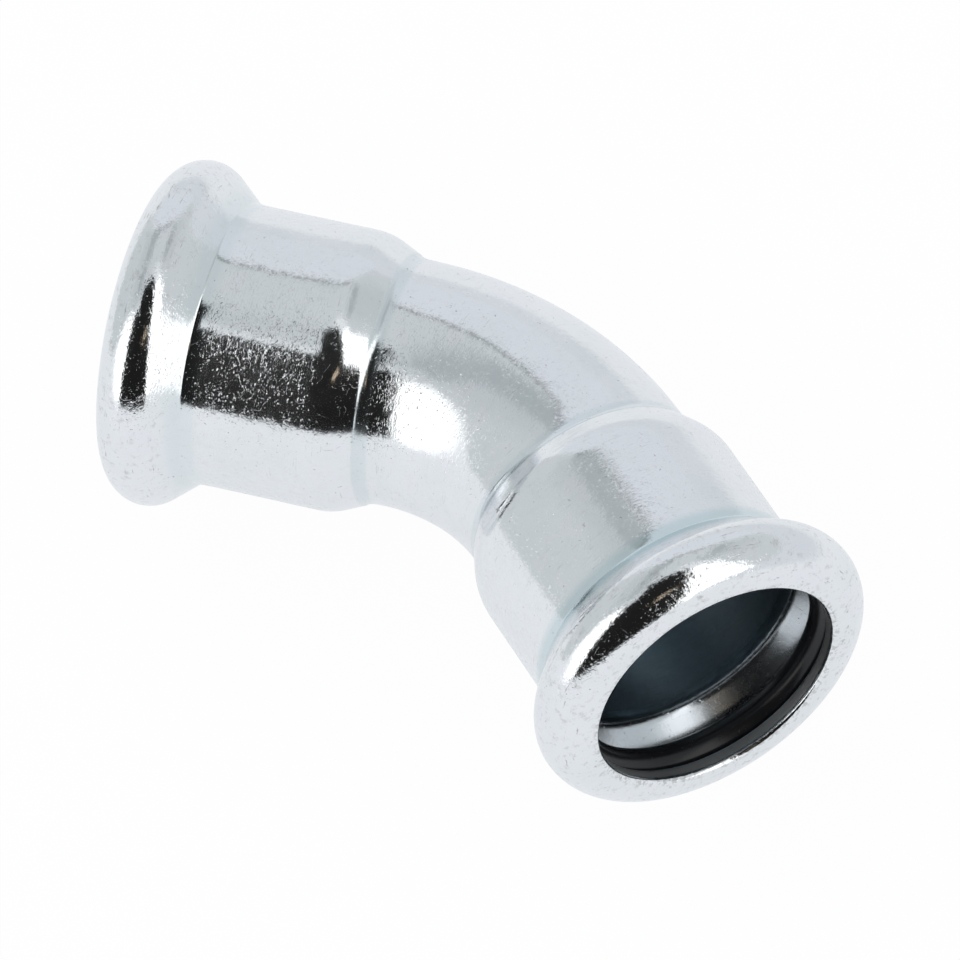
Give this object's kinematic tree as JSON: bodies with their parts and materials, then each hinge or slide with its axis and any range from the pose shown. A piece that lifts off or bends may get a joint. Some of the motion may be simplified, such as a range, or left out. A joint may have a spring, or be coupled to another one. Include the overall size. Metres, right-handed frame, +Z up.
{
  "type": "press-fit pipe elbow",
  "caption": "Bent steel press elbow with a swaged socket at each end, rolled at the mouth into a round bead that holds a rubber sealing ring for a pipe that is pushed in.",
  "frame": {"origin": "on the ground, at the middle of the footprint of the elbow as it lies at rest", "axes": "+X from the left mouth to the right mouth, +Y towards the bow of the bend, +Z up from the ground; the plane of the bend is tipped about X so that the bow and both beads touch the ground"},
  "size_m": [0.075, 0.035, 0.0308],
  "materials": {
    "zinc_plate": "bright zinc-plated steel with fine scuffs",
    "seal_rubber": "smooth black rubber with a light gloss"
  },
  "bodies": {
    "root": {"elbow_body": "zinc_plate", "left_seal_ring": "seal_rubber", "right_seal_ring": "seal_rubber"}
  },
  "joints": []
}
